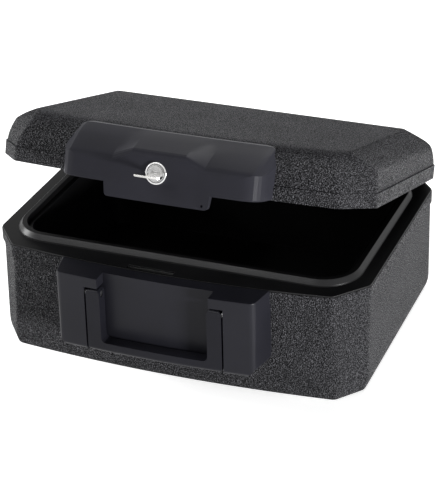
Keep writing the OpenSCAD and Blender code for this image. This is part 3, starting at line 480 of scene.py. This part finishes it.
def smooth_group(name, sharp_angle):
    """Geometry nodes that shade soft, but keep edges over an angle sharp."""
    tree = bpy.data.node_groups.new(name, "GeometryNodeTree")
    tree.interface.new_socket("Geometry", in_out="INPUT", socket_type="NodeSocketGeometry")
    tree.interface.new_socket("Geometry", in_out="OUTPUT", socket_type="NodeSocketGeometry")
    nodes = Nodes(tree)
    source = nodes.add("NodeGroupInput")
    angle = nodes.add("GeometryNodeInputMeshEdgeAngle")
    flat = nodes.add("FunctionNodeCompare", data_type="FLOAT", operation="LESS_THAN")
    nodes.put(flat.inputs[0], angle.outputs["Unsigned Angle"])
    nodes.put(flat.inputs[1], sharp_angle)
    faces = nodes.add("GeometryNodeSetShadeSmooth", domain="FACE")
    edges = nodes.add("GeometryNodeSetShadeSmooth", domain="EDGE")
    result = nodes.add("NodeGroupOutput")
    nodes.put(faces.inputs["Geometry"], source.outputs[0])
    nodes.put(edges.inputs["Geometry"], faces.outputs[0])
    nodes.put(edges.inputs["Shade Smooth"], flat.outputs[0])
    nodes.put(result.inputs[0], edges.outputs[0])
    return tree


def soften(node, edge, shading):
    """Joins a node's facets, rounds its edges and shades it soft."""
    weld = node.modifiers.new("weld", "WELD")
    weld.merge_threshold = WELD_GAP
    planar = node.modifiers.new("planar", "DECIMATE")
    planar.decimate_type = "DISSOLVE"
    planar.angle_limit = FLAT_ANGLE
    if edge > 0:
        bevel = node.modifiers.new("bevel", "BEVEL")
        bevel.width = edge
        bevel.segments = EDGE_STEPS
        bevel.limit_method = "ANGLE"
        bevel.angle_limit = EDGE_ANGLE
        bevel.miter_outer = "MITER_ARC"
    soft = node.modifiers.new("soft", "NODES")
    soft.node_group = shading
    even = node.modifiers.new("even", "WEIGHTED_NORMAL")
    even.keep_sharp = True


def dress(materials):
    """Puts a material, rounded edges and soft shading on every CAD node."""
    soft_shading = smooth_group("soft_shading", SOFT_ANGLE)
    crisp_shading = smooth_group("crisp_shading", CRISP_ANGLE)
    for names, look, edge in FINISHES:
        shading = crisp_shading if look == "cover" else soft_shading
        for name in names:
            node = frame["nodes"][name]
            node.data.materials.clear()
            node.data.materials.append(materials[look])
            soften(node, edge, shading)


def seen_as_white(nodes):
    """One for rays that show the background: from the camera, a mirror or glass."""
    path = nodes.add("ShaderNodeLightPath")
    clear = nodes.math("MAXIMUM", path.outputs["Is Camera Ray"], path.outputs["Is Transmission Ray"])
    return nodes.math("MAXIMUM", clear, path.outputs["Is Glossy Ray"])


def add_floor():
    """Pale floor that keeps the object's shadow and looks white to the camera."""
    half = FLOOR_HALF
    mesh = bpy.data.meshes.new("floor")
    corners = [(-half, -half, 0), (half, -half, 0), (half, half, 0), (-half, half, 0)]
    mesh.from_pydata(corners, [], [(0, 1, 2, 3)])
    floor = bpy.data.objects.new("floor", mesh)
    bpy.context.scene.collection.objects.link(floor)
    material, nodes = new_material("floor")
    far = nodes.math("DIVIDE", nodes.length(nodes.place()), half)
    share = nodes.ramp(far, ((LIFT_NEAR / half, FLOOR_LIFT), (LIFT_FAR / half, 1.0)))
    lift = nodes.math("MULTIPLY", seen_as_white(nodes), share)
    matte = nodes.add("ShaderNodeBsdfDiffuse", {"Color": FLOOR_COLOUR})
    glow = nodes.add("ShaderNodeEmission", {"Color": WHITE, "Strength": lift})
    both = nodes.add("ShaderNodeAddShader")
    nodes.put(both.inputs[0], matte.outputs[0])
    nodes.put(both.inputs[1], glow.outputs[0])
    nodes.add("ShaderNodeOutputMaterial", {"Surface": both.outputs[0]})
    mesh.materials.append(material)


def set_world():
    """White background, dim grey room for the light."""
    world = bpy.data.worlds.new("studio")
    world.use_nodes = True
    bpy.context.scene.world = world
    nodes = Nodes(world.node_tree)
    white = nodes.math("MULTIPLY", seen_as_white(nodes), 1.0 - ROOM_LIGHT)
    strength = nodes.math("ADD", white, ROOM_LIGHT)
    background = nodes.add("ShaderNodeBackground", {"Color": WHITE, "Strength": strength})
    nodes.add("ShaderNodeOutputWorld", {"Surface": background.outputs[0]})


def main():
    """Camera, world, floor and lamps, and then the finish of the object."""
    bpy.context.scene.view_settings.view_transform = "Standard"
    add_camera()
    set_world()
    add_floor()
    for name, place, width, height, watts in LAMPS:
        add_softbox(name, place, width, height, watts)
    dress(make_materials())


main()
